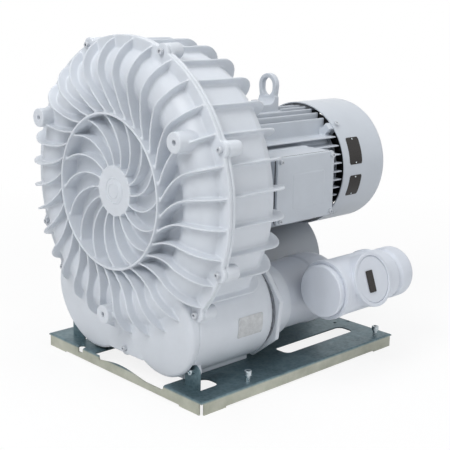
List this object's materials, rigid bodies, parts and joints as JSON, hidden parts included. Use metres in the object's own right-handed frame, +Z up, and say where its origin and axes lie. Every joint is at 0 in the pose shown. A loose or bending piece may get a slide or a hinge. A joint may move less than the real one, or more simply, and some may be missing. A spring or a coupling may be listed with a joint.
{
  "type": "side channel blower",
  "caption": "Side channel blower with swirl-ribbed cast cover, finned motor, silencers, outlet pipework and inlet filter on a sheet metal base.",
  "frame": {"origin": "on the floor under the shaft line, at the middle of the base plate", "axes": "+X along the shaft from the blower's face to the motor's fan end, +Z up, so that -Y is the side of the terminal box and the outlet pipework"},
  "size_m": [0.735, 0.663, 0.713],
  "materials": {
    "zinc_sheet": "passivated zinc coating",
    "steel": "zinc plated",
    "cast_painted": "painted light grey",
    "foam": "open foam",
    "cast_bare": "as cast",
    "lamination": "laminated",
    "fan_plastic": "moulded",
    "rubber": "matt",
    "motor_painted": "painted light grey",
    "copper": "lacquered wire",
    "cowl_sheet": "painted light grey",
    "board_plastic": "moulded",
    "gland_plastic": "moulded",
    "lug_steel": "painted light grey",
    "pipe_painted": "painted light grey",
    "pipe_plastic": "moulded light grey",
    "canister_sheet": "painted grey",
    "filter_paper": "pleated"
  },
  "bodies": {
    "blower": {"base_plate": "zinc_sheet", "hold_down_screws": "steel", "tab_screws": "steel", "rear_housing": "cast_painted", "front_cover": "cast_painted", "flange_screws": "steel", "silencer_liners": "foam", "bearing_outer_rings": "steel", "shaft_seal": "rubber", "drive_shield": "motor_painted", "motor_frame": "motor_painted", "stator_core": "lamination", "stator_windings": "copper", "rear_shield": "motor_painted", "fan_cowl": "cowl_sheet", "cowl_screws": "steel", "terminal_box": "motor_painted", "terminal_gasket": "rubber", "terminal_cover": "motor_painted", "terminal_screws": "steel", "terminal_board": "board_plastic", "cable_glands": "gland_plastic", "lifting_lug": "lug_steel", "lug_screws": "steel", "outlet_gasket": "rubber", "outlet_flange": "cast_painted", "outlet_flange_screws": "steel", "outlet_manifold": "pipe_painted", "outlet_sleeve": "rubber", "outlet_cross": "pipe_plastic", "run_plug": "pipe_plastic", "branch_cap": "pipe_plastic", "nozzle_adapter": "pipe_plastic", "outlet_nozzle": "pipe_plastic", "inlet_gasket": "rubber", "inlet_flange": "cast_painted", "inlet_flange_screws": "steel", "inlet_canister": "canister_sheet", "canister_lid": "canister_sheet", "filter_element": "filter_paper"},
    "rotor": {"shaft": "steel", "impeller": "cast_bare", "impeller_key": "steel", "impeller_washer": "steel", "impeller_screw": "steel", "rotor_core": "lamination", "cooling_fan": "fan_plastic", "bearing_inner_rings": "steel"},
    "drive_cage": {"drive_bearing_balls": "steel"},
    "fan_cage": {"fan_bearing_balls": "steel"}
  },
  "joints": [
    {"name": "rotor_spin", "type": "hinge", "parent": "blower", "child": "rotor", "pos_m": [0, 0, 0.403], "axis": [1, 0, 0], "continuous": true},
    {"name": "drive_cage_spin", "type": "hinge", "parent": "blower", "child": "drive_cage", "pos_m": [-0.1055, 0, 0.403], "axis": [1, 0, 0], "continuous": true},
    {"name": "fan_cage_spin", "type": "hinge", "parent": "blower", "child": "fan_cage", "pos_m": [0.2405, 0, 0.403], "axis": [1, 0, 0], "continuous": true}
  ],
  "couplings": [
    {"joint": "drive_cage_spin", "follows": "rotor_spin", "ratio": 0.3828},
    {"joint": "fan_cage_spin", "follows": "rotor_spin", "ratio": 0.3828}
  ]
}
